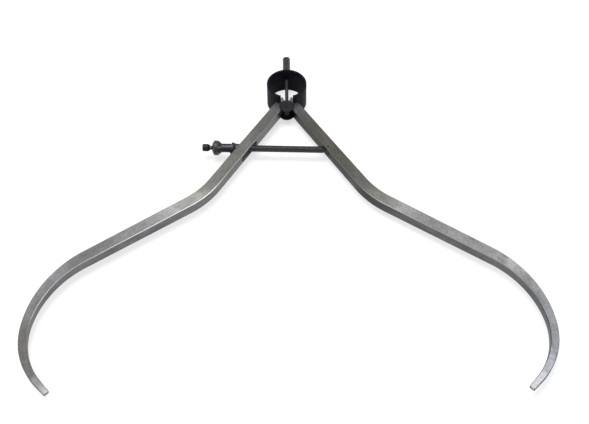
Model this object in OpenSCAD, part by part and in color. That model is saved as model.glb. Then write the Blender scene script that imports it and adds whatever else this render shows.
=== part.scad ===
// Outside caliper with a round bow spring, shown open as photographed.
// Millimetres. The caliper lies flat: X runs from leg to leg, Y towards the
// handle, Z up. The origin is on the handle's axis, where its foot meets the bow.

/* [Pose] */
// Half of the angle between the two upper legs
half_angle = 32; // [24:0.5:33]

/* [Bow spring] */
// Outside diameter of the bow
bow_d = 33.5; // [30:0.5:38]
// Thickness of the spring band
bow_wall = 1.8; // [1.4:0.1:2]
// Width of the spring band
bow_band = 23; // [18:0.2:26]
// Half of the bow's gap, seen from its centre
bow_gap_angle = 23.4; // [21:0.2:26]
// Diameter of the bead rolled on each end of the band
bead_d = 2.6; // [2:0.1:3]

/* [Handle and tie rod] */
// Diameter of the handle
handle_d = 6.6; // [5:0.1:8]
// Length of the handle with its dome
handle_len = 25.8; // [18:0.2:32]
// Height of the handle's dome
handle_dome = 1.4; // [0.8:0.1:2.2]
// Diameter of the tie rod
rod_d = 2.9; // [2.4:0.1:3.2]
// How far the tie rod is screwed into the handle
rod_grip = 12; // [6:0.5:15]

/* [Fulcrum] */
// Distance from the bow's crest to the fulcrum's axis
fulcrum_drop = 37; // [35.5:0.1:38.5]
// Diameter of the roller that the legs turn on
roller_d = 7.2; // [6.6:0.1:7.8]
// Diameter of the cheek washers
cheek_d = 12.8; // [11:0.1:14]
// Thickness of a cheek washer
cheek_t = 1.1; // [0.6:0.1:1.4]
// Diameter of the roller's riveted ends
rivet_d = 4.4; // [3.4:0.1:5.4]
// Height of the riveted heads above the cheeks
rivet_h = 0.4; // [0.2:0.1:0.6]

/* [Legs] */
// Distance of the leg's centre line from the fulcrum's axis
leg_offset = 6.5; // [6.2:0.1:7]
// Length of the straight upper leg, from the fulcrum
upper_len = 98.6; // [90:0.2:110]
// Radius of the outward bend
shoulder_r = 66; // [55:1:80]
// Angle of the outward bend
shoulder_angle = 24; // [20:0.5:27]
// Length of the straight middle
middle_len = 88; // [80:0.5:98]
// Radius of the wide inward curve
calf_r = 77; // [70:1:85]
// Angle of the wide inward curve
calf_angle = 50; // [45:0.5:54]
// Radius of the tighter inward curve
hook_r = 54; // [50:0.5:60]
// Angle of the tighter inward curve
hook_angle = 37.5; // [33:0.5:40]
// Radius of the toe's curve
toe_r = 59; // [50:1:68]
// Angle of the toe's curve
toe_angle = 13.7; // [10:0.1:16]
// Length of the straight toe
toe_len = 8.4; // [6:0.2:11]
// Leg width at the fulcrum
width_top = 8.7; // [8:0.1:9.4]
// Leg width after the outward bend
width_shoulder = 9.5; // [9:0.1:11]
// Leg width at the end of the middle
width_middle = 9.2; // [8:0.1:11]
// Leg width at the end of the wide curve
width_calf = 6.1; // [5.4:0.1:7.5]
// Leg width at the end of the tighter curve
width_hook = 5.4; // [4.6:0.1:6.5]
// Leg width at the tip
width_tip = 4.2; // [3.6:0.1:4.8]
// Radius of the corners of the blunt tip
tip_corner = 0.7; // [0.4:0.1:1.2]
// Leg thickness at the fulcrum
thick_top = 8.8; // [7.6:0.1:9.4]
// Leg thickness at the outward bend
thick_shoulder = 9.4; // [8.4:0.1:10.2]
// Leg thickness at the end of the middle
thick_middle = 8.3; // [7:0.1:9]
// Leg thickness at the lowest point of the hook
thick_hook = 5.8; // [5:0.1:7]
// Leg thickness at the tip
thick_tip = 2.9; // [2.2:0.1:3.6]
// Length over which the toe is filed thin
toe_taper_len = 15; // [10:1:20]

/* [Leg tops and slots] */
// Height of the finger above the fulcrum, along the leg
finger_h = 7.4; // [6.8:0.1:8.4]
// Distance of the finger's outer face from the fulcrum's axis, across the leg
finger_out = 9.5; // [9:0.1:10.4]
// Width of the finger's top
finger_top_w = 0.9; // [0.5:0.1:1.4]
// Angle between the finger's relieved inner face and the leg
finger_relief = 53; // [48:1:58]
// Distance from the fulcrum to the middle of the left leg's slot
slot_at = 54.6; // [53:0.2:58]
// Length of the left leg's slot
slot_len = 22.8; // [21:0.2:27]
// Distance from the fulcrum to the middle of the right leg's slot
eye_slot_at = 53; // [52.8:0.1:54]
// Length of the right leg's slot
eye_slot_len = 14.2; // [14:0.2:18]
// Width of both slots
slot_w = 6.1; // [6:0.05:6.4]

/* [Adjusting screw] */
// Diameter of the screw
screw_d = 5.5; // [5.2:0.1:5.6]
// Distance along the leg from the fulcrum to the swivel pin
swivel_at = 55; // [54:0.2:56]
// Distance of the swivel pin from the leg's middle, towards the inner face
swivel_in = 2.2; // [1.6:0.1:2.4]
// Distance of the nut seat's rocking centre below the left leg's outer face
seat_depth = 2.9; // [2.5:0.05:3.1]
// Length from the swivel pin to the end of the stop button
screw_len = 101.5; // [100:0.5:112]
// Diameter of the screw's eye
eye_d = 5.8; // [5.6:0.1:6]
// Thickness of the screw's eye
eye_t = 5.2; // [4.6:0.1:5.3]
// Diameter of the swivel pin
swivel_pin_d = 2; // [1.6:0.1:2.4]
// Diameter of the stop button
button_d = 6.1; // [5.8:0.1:7.5]
// Length of the stop button
button_len = 5.9; // [5:0.1:8]
// Depth of the button's cone towards the nut
button_cone = 1.4; // [1:0.1:2]
// Diameter of the neck that carries the button
neck_d = 3.4; // [2.8:0.1:4]
// Length of full thread left beyond the nut's face
thread_runout = 0.2; // [0.1:0.1:0.6]

/* [Nut and seat] */
// Travel left between the nut and the button
nut_travel = 2.2; // [1:0.1:4]
// Diameter of the nut's knurled flange
flange_d = 12.1; // [11:0.1:14]
// Length of the flange's knurled rim
flange_rim = 3.6; // [2.4:0.1:4.5]
// Height of the flange's domed face
flange_face = 1.3; // [0.8:0.1:2]
// Diameter of the flange's face where it ends
face_d = 7.9; // [7.7:0.1:9]
// Length of the flange's cone towards the sleeve
flange_cone = 2.4; // [2:0.1:4]
// Outside diameter of the split sleeve
sleeve_d = 7.2; // [7:0.1:7.5]
// Length of the nut from its face to the sleeve's nose
nut_len = 18.6; // [18:0.2:19]
// Length of the sleeve's conical nose
nose_len = 1.1; // [0.8:0.1:1.6]
// Gap between the two halves of the split sleeve
split_gap = 0.3; // [0.2:0.05:0.6]
// Wire diameter of the nut's retaining ring
ring_wire = 0.6; // [0.5:0.05:0.7]
// Diameter of the seat's nose, where it rocks in the leg
seat_nose_d = 7.4; // [7.2:0.1:7.8]
// Diameter of the seat's rim
seat_rim_d = 9.8; // [9.4:0.1:10.8]
// Distance from the rocking centre to the seat's rim
seat_len = 9.3; // [9:0.1:10]
// Slant of the seat's rim, towards the leg's own face
seat_slant = 13; // [0:1:16]

/* [Fits] */
// Radial clearance of a part that turns or slides
run_fit = 0.06; // [0.03:0.01:0.1]
// Radial clearance of a part that is pressed or screwed home
seat_fit = 0.02; // [0.01:0.01:0.04]
// Gap between the tie rod and the legs when they are fully open
rod_gap = 0.3; // [0.2:0.05:0.5]
// Gap between a leg and each cheek
cheek_gap = 0.15; // [0.1:0.05:0.3]
// Gap around the spring's bead in the leg's notch
bead_gap = 0.12; // [0.08:0.02:0.2]
// Gap between the nut seat and its recess in the leg
rock_gap = 0.12; // [0.08:0.02:0.3]
// Gap around the screw inside the nut seat
screw_gap = 0.2; // [0.1:0.05:0.25]
// How far the legs can open beyond the pose shown
open_more = 1.3; // [0:0.1:1.5]

/* [Hidden] */
$fn = 96;
over = 1;

// The bow and the fulcrum
bow_r = bow_d / 2;
bow_mid_r = bow_r - bow_wall / 2;
bow_y = -bow_r;
fulcrum_y = -fulcrum_drop;
roller_len = thick_top + 2 * cheek_gap;
cheek_z = roller_len / 2;
bead_x = bow_mid_r * sin(bow_gap_angle);
bead_y = bow_y - bow_mid_r * cos(bow_gap_angle);
rod_top = min(rod_grip, handle_len - 2 * handle_dome);

// One leg's path: each row is a length and the outward turn along it.
// The leg's own frame has the fulcrum at its origin, X outward and Y up the leg.
function arc_len(r, angle) = r * angle * PI / 180;
legs_path = [
    [upper_len, 0],
    [arc_len(shoulder_r, shoulder_angle), shoulder_angle],
    [middle_len, 0],
    [arc_len(calf_r, calf_angle), -calf_angle],
    [arc_len(hook_r, hook_angle), -hook_angle],
    [arc_len(toe_r, toe_angle), -toe_angle],
    [toe_len, 0]
];
width_knots = [
    [0, width_top],
    [2, width_shoulder],
    [3, width_middle],
    [4, width_calf],
    [5, width_hook],
    [7, width_tip]
];
arc_step = 3;
last_part = len(legs_path) - 1;

function path_before(i) = i <= 0 ? 0 : path_before(i - 1) + legs_path[i - 1][0];
function turn_before(i) = i <= 0 ? 0 : turn_before(i - 1) + legs_path[i - 1][1];
function step_along(h0, length, turn) = turn == 0
    ? length * [sin(h0), -cos(h0)]
    : length * 180 / (turn * PI) * [cos(h0) - cos(h0 + turn), sin(h0) - sin(h0 + turn)];
function part_start(i) = i <= 0
    ? [leg_offset, 0]
    : part_start(i - 1) + step_along(turn_before(i - 1), legs_path[i - 1][0], legs_path[i - 1][1]);
function leg_point(i, f) = part_start(i)
    + step_along(turn_before(i), legs_path[i][0] * f, legs_path[i][1] * f);
function leg_heading(i, f) = turn_before(i) + legs_path[i][1] * f;
function leg_width(i, f) = lookup(path_before(i) + legs_path[i][0] * f,
    [for (k = width_knots) [path_before(k[0]), k[1]]]);
function side_point(i, f, side) = leg_point(i, f)
    + side * leg_width(i, f) / 2 * [cos(leg_heading(i, f)), sin(leg_heading(i, f))];
function part_steps(i) = max(1, ceil(abs(legs_path[i][1]) / arc_step));
tip_heading = leg_heading(last_part, 1);
tip_end = leg_point(last_part, 1);
function tip_centre(side) = tip_end - tip_corner * [sin(tip_heading), -cos(tip_heading)]
    + side * (width_tip / 2 - tip_corner) * [cos(tip_heading), sin(tip_heading)];
function leg_side(side) = [
    for (i = [0:last_part])
        for (k = [0:part_steps(i) - 1])
            side_point(i, k / part_steps(i), side)
];
outer_side = leg_side(1);
inner_side = leg_side(-1);
tip_arc = [for (side = [1, -1]) for (a = side > 0 ? [0:30:90] : [90:30:180]) tip_centre(side)
    + tip_corner * [cos(tip_heading - a), sin(tip_heading - a)]];

function reversed(list) = [for (k = [len(list) - 1:-1:0]) list[k]];
function turned(p, angle) = [p[0] * cos(angle) - p[1] * sin(angle), p[0] * sin(angle) + p[1] * cos(angle)];

// The bead's place in the right leg's frame, and the direction in which the band arrives
notch_at = turned([bead_x, bead_y - fulcrum_y], -half_angle);
notch_turn = bow_gap_angle - half_angle;
notch_r = bead_d / 2 + bead_gap;
inner_face = leg_offset - width_top / 2;
outer_face = leg_offset + width_top / 2;
roller_hole_r = roller_d / 2 + run_fit;

// The two pivots of the adjusting screw lie equally far from the fulcrum
swivel_off = leg_offset - swivel_in;
pivot_reach = norm([swivel_off, swivel_at]);
leg_w_here = width_top + (width_shoulder - width_top) * swivel_at / path_before(2);
seat_off = leg_offset + leg_w_here / 2 - seat_depth;
seat_at = sqrt(pow(pivot_reach, 2) - pow(seat_off, 2));
right_turn = half_angle + atan(swivel_off / swivel_at);
left_turn = half_angle + atan(seat_off / seat_at);
screw_tilt = (left_turn - right_turn) / 2;
pivot_span = 2 * pivot_reach * sin((left_turn + right_turn) / 2);
swivel_xy = [pivot_reach * sin(right_turn), fulcrum_y - pivot_reach * cos(right_turn)];
seat_xy = [-pivot_reach * sin(left_turn), fulcrum_y - pivot_reach * cos(left_turn)];
leg_t_here = thick_top + (thick_shoulder - thick_top) * swivel_at / path_before(2);
seat_tilt = half_angle - screw_tilt;

// Distances along the screw, from the swivel pin
button_start = screw_len - button_len;
nut_face_at = button_start - nut_travel;
nut_nose_at = nut_face_at - nut_len;
seat_rim_at = pivot_span + seat_len;
thread_end = nut_face_at + thread_runout;

// Distances inside the nut, from its nose
bore_r = screw_d / 2 + run_fit;
cone_at = nut_len - flange_face - flange_rim - flange_cone;
rim_at = nut_len - flange_face - flange_rim;
ring_groove_at = rim_at + flange_rim / 2;
tail_clear = sleeve_d / 2 + seat_fit;
nose_r = (screw_d / 2 + sleeve_d / 2) / 2;

steel = [0.56, 0.56, 0.55];
black = [0.13, 0.13, 0.14];
dark = [0.2, 0.2, 0.21];

module at_fulcrum() {
    translate([0, fulcrum_y, 0])
        children();
}

module right_side() {
    at_fulcrum()
        rotate([0, 0, half_angle])
            children();
}

// Places a shape drawn along +X so that it runs from the swivel pin along the screw
module along_screw(from = 0) {
    translate([swivel_xy[0], swivel_xy[1], 0])
        rotate([0, 0, 180 - screw_tilt])
            translate([from, 0, 0])
                children();
}

// Turns a profile of [distance, radius] points about the X axis
module turned_along_x(profile) {
    rotate([0, 90, 0])
        rotate([0, 0, 90])
            rotate_extrude()
                polygon([for (p = profile) [p[1], p[0]]]);
}

module band_end(side) {
    translate([side * bead_x, bead_y, 0])
        cylinder(d = bead_d, h = bow_band, center = true);
}

module bow_spring() {
    gap_reach = bow_d;
    color(black)
    difference() {
        union() {
            difference() {
                translate([0, bow_y, 0])
                    cylinder(r = bow_r, h = bow_band, center = true);
                translate([0, bow_y, 0])
                    cylinder(r = bow_r - bow_wall, h = bow_band + 2 * over, center = true);
                translate([0, bow_y, -bow_band / 2 - over])
                    linear_extrude(bow_band + 2 * over)
                        polygon([[0, 0],
                            gap_reach * [sin(bow_gap_angle), -cos(bow_gap_angle)],
                            gap_reach * [-sin(bow_gap_angle), -cos(bow_gap_angle)]]);
            }
            for (side = [-1, 1])
                band_end(side);
        }
        translate([0, over, 0])
            rotate([90, 0, 0])
                cylinder(r = rod_d / 2 + seat_fit, h = bow_wall + 2 * over);
    }
}

module handle() {
    dome_r = (pow(handle_d / 2, 2) + pow(handle_dome, 2)) / (2 * handle_dome);
    shoulder = handle_len - handle_dome;
    color(dark)
    rotate([-90, 0, 0])
        difference() {
            union() {
                translate([0, 0, seat_fit])
                    cylinder(d = handle_d, h = shoulder - seat_fit);
                intersection() {
                    translate([0, 0, handle_len - dome_r])
                        sphere(r = dome_r);
                    translate([0, 0, shoulder])
                        cylinder(d = handle_d, h = handle_dome + over);
                }
            }
            translate([0, 0, -over])
                cylinder(r = rod_d / 2 + seat_fit, h = rod_top + over + seat_fit);
        }
}

module tie_rod() {
    foot = fulcrum_y + roller_d / 4;
    color(dark)
    translate([0, foot, 0])
        rotate([-90, 0, 0])
            cylinder(d = rod_d, h = rod_top - foot);
}

module fulcrum_roller() {
    color(black)
    difference() {
        at_fulcrum() {
            cylinder(d = roller_d, h = roller_len, center = true);
            cylinder(d = rivet_d, h = roller_len + 2 * (cheek_t + rivet_h), center = true);
        }
        translate([0, fulcrum_y + roller_d / 4 - seat_fit, 0])
            rotate([-90, 0, 0])
                cylinder(r = rod_d / 2 + seat_fit, h = roller_d);
    }
}

module cheek_washer() {
    edge = cheek_t / 3;
    difference() {
        union() {
            cylinder(d = cheek_d, h = cheek_t - edge);
            translate([0, 0, cheek_t - edge])
                cylinder(d1 = cheek_d, d2 = cheek_d - 2 * edge, h = edge);
        }
        translate([0, 0, -over])
            cylinder(r = rivet_d / 2 + seat_fit, h = cheek_t + 2 * over);
    }
}

module front_cheek_washer() {
    color(black)
    at_fulcrum()
        translate([0, 0, cheek_z + seat_fit])
            cheek_washer();
}

module rear_cheek_washer() {
    color(black)
    at_fulcrum()
        mirror([0, 0, 1])
            translate([0, 0, cheek_z + seat_fit])
                cheek_washer();
}

// The leg from above. At its top a finger stands above the spring's notch, and
// the finger's inner face is cut back so that the legs can open.
module leg_outline() {
    corner = [finger_out - finger_top_w, finger_h];
    top = [
        [corner[0] - corner[1] * tan(finger_relief), 0],
        corner,
        [finger_out - finger_top_w / 2, finger_h],
        [finger_out, finger_h - finger_top_w / 2],
        [finger_out, notch_at[1] + notch_r],
        [outer_face, notch_at[1]]
    ];
    difference() {
        polygon(concat(top, outer_side, tip_arc, reversed(inner_side)));
        circle(r = roller_hole_r);
        rotate(-half_angle - open_more)
            translate([-bow_r, 0])
                square([bow_r + rod_d / 2 + rod_gap, 2 * finger_h]);
        translate(notch_at)
            rotate(notch_turn) {
                circle(r = notch_r);
                translate([0, -notch_r])
                    square([bow_r, 2 * notch_r]);
            }
    }
}

// The leg seen from its side: even between the cheeks, swelling to the bend
// and thinning towards the hook
module leg_side_profile() {
    knee = part_start(2)[1];
    calf = part_start(3)[1];
    hook = part_start(5)[1];
    low = hook - hook_r;
    slope = (thick_middle - thick_hook) / (calf - hook);
    upper = [
        [finger_h + over, thick_top],
        [-cheek_d / 2, thick_top],
        [knee, thick_shoulder],
        [calf, thick_middle],
        [low, thick_middle - slope * (calf - low)]
    ];
    polygon(concat(
        [for (p = upper) [p[0], p[1] / 2]],
        [for (p = reversed(upper)) [p[0], -p[1] / 2]]
    ));
}

// The wedge that the toe is filed to, drawn back along the toe from its tip
module toe_wedge() {
    reach = 2 * (upper_len + middle_len + calf_r);
    slope = (thick_hook - thick_tip) / 2 / toe_taper_len;
    translate(tip_end)
        rotate([0, 0, tip_heading - 90])
            rotate([90, 0, 0])
                linear_extrude(2 * reach, center = true)
                    polygon([
                        [-reach, thick_tip / 2 + slope * reach],
                        [over, thick_tip / 2 - slope * over],
                        [over, -thick_tip / 2 + slope * over],
                        [-reach, -thick_tip / 2 - slope * reach]
                    ]);
}

module screw_slot(middle, length) {
    straight = length - slot_w;
    for (side = [-1, 1])
        translate([leg_offset, -middle + side * straight / 2, 0])
            rotate([0, 90, 0])
                cylinder(d = slot_w, h = 2 * width_shoulder, center = true);
    translate([leg_offset, -middle, 0])
        cube([2 * width_shoulder, straight, slot_w], center = true);
}

module leg_blank() {
    reach = 2 * (middle_len + calf_r);
    intersection() {
        linear_extrude(2 * thick_shoulder, center = true)
            leg_outline();
        rotate([0, 90, 0])
            rotate([0, 0, 90])
                linear_extrude(reach, center = true)
                    leg_side_profile();
        toe_wedge();
    }
}

// Mouth of the left leg's slot: room for the seat's nose over the whole swing
module seat_recess() {
    mouth_r = seat_nose_d / 2 + rock_gap;
    mouth_half = mouth_r + rock_gap / 2;
    swing = seat_tilt + open_more;
    reach = width_top;
    translate([seat_off, -seat_at, 0]) {
        sphere(r = mouth_r);
        linear_extrude(2 * mouth_half, center = true)
            polygon([
                [0, mouth_half],
                [reach, mouth_half],
                [reach, -mouth_half / cos(swing) - reach * tan(swing)],
                [-mouth_half * sin(swing), -mouth_half * cos(swing)]
            ]);
    }
}

module left_leg() {
    color(steel)
    mirror([1, 0, 0])
        right_side()
            difference() {
                leg_blank();
                screw_slot(slot_at, slot_len);
                seat_recess();
            }
}

module right_leg() {
    color(steel)
    right_side()
        difference() {
            leg_blank();
            screw_slot(eye_slot_at, eye_slot_len);
            translate([swivel_off, -swivel_at, 0])
                cylinder(r = swivel_pin_d / 2 + seat_fit, h = 2 * thick_shoulder, center = true);
        }
}

module swivel_pin() {
    color(dark)
    along_screw()
        cylinder(d = swivel_pin_d, h = leg_t_here, center = true);
}

module adjusting_screw() {
    color(dark)
    along_screw()
        difference() {
            union() {
                cylinder(d = eye_d, h = eye_t, center = true);
                rotate([0, 90, 0])
                    cylinder(d = screw_d, h = thread_end);
                rotate([0, 90, 0])
                    cylinder(d = neck_d, h = screw_len - button_len / 3);
            }
            cylinder(r = swivel_pin_d / 2 + run_fit, h = eye_d + over, center = true);
        }
}

module stop_button() {
    edge = button_d / 12;
    hole = neck_d / 2 + seat_fit;
    floor_at = button_len - button_len / 3 + seat_fit;
    color(black)
    along_screw(button_start)
        turned_along_x([
            [0, hole],
            [0, neck_d / 2 + edge],
            [button_cone, button_d / 2],
            [button_len - edge, button_d / 2],
            [button_len, button_d / 2 - edge],
            [button_len, 0],
            [floor_at, 0],
            [floor_at, hole]
        ]);
}

// The seat is turned as one cone, and its rim is cut on a slant
module nut_seat() {
    nose = seat_nose_d / 2;
    hole = screw_d / 2 + screw_gap;
    clear = sleeve_d / 2 + run_fit;
    nose_in = nut_nose_at - pivot_span;
    face_clear = (seat_depth + rock_gap + nose * sin(seat_tilt)) / cos(seat_tilt);
    rim = seat_rim_d / 2;
    slant_reach = rim * tan(seat_slant);
    color(black)
    along_screw(pivot_span)
        difference() {
            union() {
                sphere(r = nose);
                turned_along_x([
                    [0, 0],
                    [0, nose],
                    [face_clear, nose],
                    [seat_len - slant_reach, rim],
                    [seat_len + slant_reach + over, rim],
                    [seat_len + slant_reach + over, 0]
                ]);
            }
            rotate([0, 90, 0])
                translate([0, 0, -nose - over])
                    cylinder(r = hole, h = seat_len + 2 * rim);
            turned_along_x([
                [nose_in - seat_fit - run_fit, 0],
                [nose_in - seat_fit - run_fit, nose_r],
                [nose_in + nose_len - seat_fit, clear],
                [seat_len + 2 * rim, clear],
                [seat_len + 2 * rim, 0]
            ]);
            translate([seat_len, 0, 0])
                rotate([0, 0, -seat_slant])
                    translate([0, -seat_rim_d, -seat_rim_d])
                        cube(2 * seat_rim_d);
        }
}

module nut_flange() {
    rim = flange_d / 2;
    edge = flange_d / 40;
    face_at = nut_len - flange_face;
    color(dark)
    along_screw(nut_nose_at)
        difference() {
            turned_along_x([
                [cone_at, tail_clear],
                [cone_at, tail_clear + edge],
                [rim_at, rim - edge],
                [rim_at + edge, rim],
                [face_at - edge, rim],
                [face_at, rim - edge],
                [nut_len, face_d / 2],
                [nut_len, tail_clear]
            ]);
            translate([ring_groove_at, 0, 0])
                rotate([0, 90, 0])
                    rotate_extrude()
                        translate([tail_clear, 0])
                            square(ring_wire + 2 * run_fit, center = true);
        }
}

module nut_jaws() {
    outer = sleeve_d / 2;
    groove = ring_wire / 2 + run_fit;
    along_screw(nut_nose_at)
        turned_along_x([
            [0, bore_r],
            [0, nose_r - run_fit],
            [nose_len, outer],
            [ring_groove_at - groove, outer],
            [ring_groove_at - groove, outer - groove],
            [ring_groove_at + groove, outer - groove],
            [ring_groove_at + groove, outer],
            [nut_len - seat_fit, outer],
            [nut_len - seat_fit, bore_r]
        ]);
}

module half_space(side) {
    reach = 2 * screw_len;
    translate([-reach / 2, -reach / 2 + fulcrum_y, side > 0 ? split_gap / 2 : -reach - split_gap / 2])
        cube(reach);
}

module nut_jaw_front() {
    color(black)
    intersection() {
        nut_jaws();
        half_space(1);
    }
}

module nut_jaw_rear() {
    color(black)
    intersection() {
        nut_jaws();
        half_space(-1);
    }
}

// A split wire ring that holds the two jaws in the flange
module nut_ring() {
    color(steel)
    along_screw(nut_nose_at + ring_groove_at)
        rotate([0, 90, 0])
            difference() {
                rotate_extrude()
                    translate([sleeve_d / 2, 0])
                        circle(d = ring_wire);
                translate([0, -ring_wire, -ring_wire])
                    cube([sleeve_d, 2 * ring_wire, 2 * ring_wire]);
            }
}

bow_spring();
handle();
tie_rod();
fulcrum_roller();
front_cheek_washer();
rear_cheek_washer();
left_leg();
right_leg();
swivel_pin();
adjusting_screw();
stop_button();
nut_seat();
nut_flange();
nut_jaw_front();
nut_jaw_rear();
nut_ring();
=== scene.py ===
# %% [markdown]
# An outside caliper, dressed for its portrait. The packed model already holds every
# piece at its real size and in its place. Here each piece gets the finish that the
# real one has: ground steel legs, a blackened bow, knurled grips and a cut thread.

# %% Load the model and keep its box
import bpy
import bmesh
import numpy as np
from math import asin, atan, ceil, cos, degrees, hypot, pi, radians, sin, sqrt, tan
from mathutils import Matrix, Vector


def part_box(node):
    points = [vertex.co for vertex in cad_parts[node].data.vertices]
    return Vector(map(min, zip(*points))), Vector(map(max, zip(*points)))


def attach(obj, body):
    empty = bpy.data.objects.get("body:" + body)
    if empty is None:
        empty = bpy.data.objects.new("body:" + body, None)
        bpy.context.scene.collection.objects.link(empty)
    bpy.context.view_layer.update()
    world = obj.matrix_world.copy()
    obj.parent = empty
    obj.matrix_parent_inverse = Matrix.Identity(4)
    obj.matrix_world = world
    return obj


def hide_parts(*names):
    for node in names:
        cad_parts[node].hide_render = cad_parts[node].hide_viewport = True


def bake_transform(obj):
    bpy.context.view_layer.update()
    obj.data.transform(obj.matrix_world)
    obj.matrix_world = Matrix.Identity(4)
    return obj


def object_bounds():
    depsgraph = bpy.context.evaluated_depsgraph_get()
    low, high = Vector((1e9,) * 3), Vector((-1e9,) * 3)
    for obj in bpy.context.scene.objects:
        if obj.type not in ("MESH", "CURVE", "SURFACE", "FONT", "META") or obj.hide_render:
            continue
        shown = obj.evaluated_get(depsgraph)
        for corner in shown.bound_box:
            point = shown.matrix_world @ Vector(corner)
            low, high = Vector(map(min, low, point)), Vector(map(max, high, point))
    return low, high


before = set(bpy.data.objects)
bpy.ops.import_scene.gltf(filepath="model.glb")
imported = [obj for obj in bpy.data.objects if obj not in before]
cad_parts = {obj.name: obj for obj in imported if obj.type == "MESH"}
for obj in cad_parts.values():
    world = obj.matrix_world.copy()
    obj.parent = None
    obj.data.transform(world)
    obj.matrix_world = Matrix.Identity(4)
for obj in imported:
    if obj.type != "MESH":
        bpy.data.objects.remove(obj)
cad_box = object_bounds()
MM = 0.001
print("the caliper measures", [round((b - a) / MM, 1) for a, b in zip(*cad_box)], "mm")

# %% [markdown]
# The photograph looks down on a caliper that lies flat. A camera can be placed by
# hand and nudged, but here it is set by what was measured: how steeply it looks down,
# how far it is turned and rolled, how many millimetres a pixel covers at the
# fulcrum, and where the fulcrum lies in the picture. Then nothing needs nudging.

# %% Place the camera
PICTURE = (589, 424)
LOOK_DOWN = radians(53)
TURN = radians(-1.0)
ROLL = radians(0.31)
PIXEL = 0.84 * MM
AWAY = 870
FULCRUM_IN_PICTURE = (286.91, 110.27)
FILM_WIDTH = 36

fulcrum = sum(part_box("fulcrum_roller"), Vector()) / 2
back = Vector((sin(TURN) * cos(LOOK_DOWN), -cos(TURN) * cos(LOOK_DOWN), sin(LOOK_DOWN)))
level = Vector((cos(TURN), sin(TURN), 0))
upward = back.cross(level)
right = cos(ROLL) * level + sin(ROLL) * upward
up = cos(ROLL) * upward - sin(ROLL) * level
shift_right = FULCRUM_IN_PICTURE[0] - PICTURE[0] / 2
shift_up = PICTURE[1] / 2 - FULCRUM_IN_PICTURE[1]

camera_data = bpy.data.cameras.new("camera")
camera_data.sensor_width = FILM_WIDTH
camera_data.lens = FILM_WIDTH * AWAY / PICTURE[0]
camera_data.clip_start = 0.05
camera_data.clip_end = 20
camera = bpy.data.objects.new("camera", camera_data)
bpy.context.scene.collection.objects.link(camera)
place = fulcrum + (AWAY * back - shift_right * right - shift_up * up) * PIXEL
camera.matrix_world = Matrix.Translation(place) @ Matrix((right, up, back)).transposed().to_4x4()
bpy.context.scene.camera = camera
print("the camera stands", round((place - fulcrum).length, 3), "m from the fulcrum")

# %% [markdown]
# The table and the background should look white. They could be lit until they burn
# out, but that would flood the caliper with light from below. So white is mixed in,
# only for rays from the camera, from mirroring metal and through glass. All other rays
# find the surface as it is.

# %% A helper for white surroundings
def shown_white(tree, usual, white, share=1.0):
    """The usual shader, and for the rays that see it a share of the white one."""
    path = tree.nodes.new("ShaderNodeLightPath")
    seen = path.outputs["Is Camera Ray"]
    for ray in ("Is Glossy Ray", "Is Transmission Ray"):
        either = tree.nodes.new("ShaderNodeMath")
        either.operation = "MAXIMUM"
        tree.links.new(seen, either.inputs[0])
        tree.links.new(path.outputs[ray], either.inputs[1])
        seen = either.outputs["Value"]
    part = tree.nodes.new("ShaderNodeMath")
    part.operation = "MULTIPLY"
    part.inputs[1].default_value = share
    tree.links.new(seen, part.inputs[0])
    mixed = tree.nodes.new("ShaderNodeMixShader")
    tree.links.new(part.outputs["Value"], mixed.inputs["Fac"])
    tree.links.new(usual, mixed.inputs[1])
    tree.links.new(white, mixed.inputs[2])
    return mixed.outputs["Shader"]


print("white is mixed in for camera, glossy and transmission rays")

# %% [markdown]
# The caliper lies on a pale table that fades into the background. A sheet with an edge
# would need cropping, so the table is one large plane. Only part of what the camera
# sees of it is white paper, so that the caliper's shadow still darkens it.

# %% Lay the floor
TABLE_SIZE = 6
PAPER_WHITE = 0.6
floor_height = cad_box[0][2]
table_mesh = bpy.data.meshes.new("table")
half = TABLE_SIZE / 2
corners = [(-half, -half), (half, -half), (half, half), (-half, half)]
table_mesh.from_pydata([(x, y, floor_height) for x, y in corners], [], [(0, 1, 2, 3)])
table = bpy.data.objects.new("table", table_mesh)
bpy.context.scene.collection.objects.link(table)

table_finish = bpy.data.materials.new("table_white")
table_finish.use_nodes = True
table_tree = table_finish.node_tree
table_shader = table_tree.nodes["Principled BSDF"]
table_shader.inputs["Base Color"].default_value = (0.9, 0.9, 0.9, 1)
table_shader.inputs["Roughness"].default_value = 0.9
paper = table_tree.nodes.new("ShaderNodeEmission")
paper.inputs["Strength"].default_value = 1
table_look = shown_white(table_tree, table_shader.outputs["BSDF"], paper.outputs["Emission"], PAPER_WHITE)
table_tree.links.new(table_look, table_tree.nodes["Material Output"].inputs["Surface"])
table_mesh.materials.append(table_finish)
print("the table lies at", round(floor_height / MM, 1), "mm, under the caliper's lowest point")

# %% [markdown]
# Behind the caliper everything is white. A lit backdrop could stand there, but its
# light would fall on the metal too. The world does it instead: the camera and mirroring
# metal see white paper, and all other rays find a weaker, slightly cool light that
# fills the shadows. The Standard view transform shows a colour as it is written.

# %% Fill the world
view = bpy.context.scene.view_settings
view.view_transform = "Standard"

world = bpy.data.worlds.new("studio")
world.use_nodes = True
bpy.context.scene.world = world
world_tree = world.node_tree
world_tree.nodes.clear()
fill = world_tree.nodes.new("ShaderNodeBackground")
fill.inputs["Color"].default_value = (0.95, 0.97, 1, 1)
fill.inputs["Strength"].default_value = 0.9
white = world_tree.nodes.new("ShaderNodeBackground")
white.inputs["Color"].default_value = (1, 1, 1, 1)
white.inputs["Strength"].default_value = 1
world_look = shown_white(world_tree, fill.outputs["Background"], white.outputs["Background"])
output = world_tree.nodes.new("ShaderNodeOutputWorld")
world_tree.links.new(world_look, output.inputs["Surface"])
print("the world has", len(world_tree.nodes), "nodes; colours are shown in", view.view_transform)

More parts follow.
